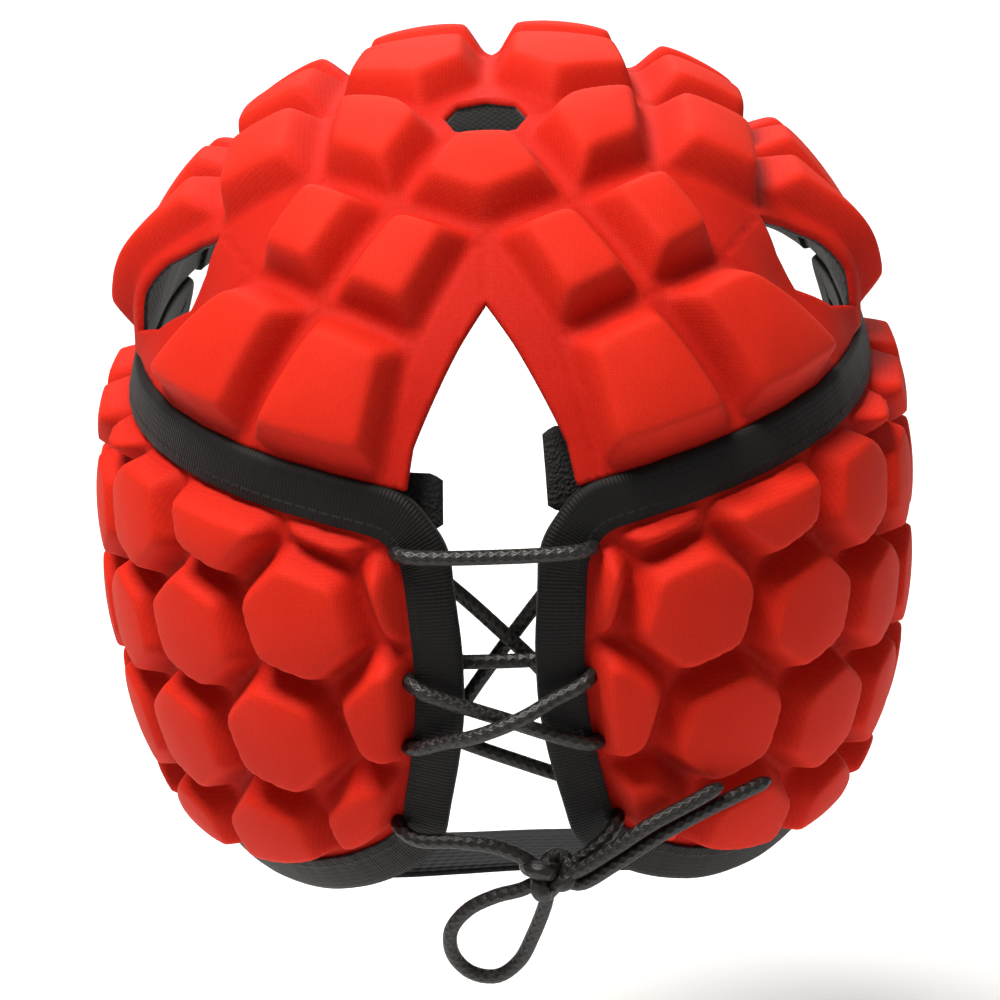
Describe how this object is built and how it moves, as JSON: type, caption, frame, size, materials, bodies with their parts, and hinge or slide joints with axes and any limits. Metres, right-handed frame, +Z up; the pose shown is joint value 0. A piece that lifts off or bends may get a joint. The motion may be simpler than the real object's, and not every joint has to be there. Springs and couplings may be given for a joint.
{
  "type": "rugby scrum cap",
  "caption": "Soft padded head guard with a moulded crown, laced ear panels, taped edges and a webbing chin strap.",
  "frame": {"origin": "head seat: the lining at the top of the crown, where the cap rests on a head", "axes": "+X to the wearer's right, +Y to the front of the face, +Z up"},
  "size_m": [0.1956, 0.2068, 0.2374],
  "materials": {
    "red_knit_foam": "red knit bonded over soft foam pads",
    "black_tape": "black woven binding tape",
    "black_lace": "black braided elastic lace",
    "black_webbing": "black woven webbing"
  },
  "bodies": {
    "root": {"crown": "red_knit_foam", "side_panel_left": "red_knit_foam", "side_panel_right": "red_knit_foam", "side_binding_left": "black_tape", "side_binding_right": "black_tape", "brow_binding": "black_tape", "rear_tab_left": "black_tape", "rear_tab_right": "black_tape", "lace": "black_lace", "lace_knot": "black_lace", "lace_loop": "black_lace", "lace_end_upper": "black_lace", "lace_end_lower": "black_lace", "chin_strap": "black_webbing"}
  },
  "joints": []
}
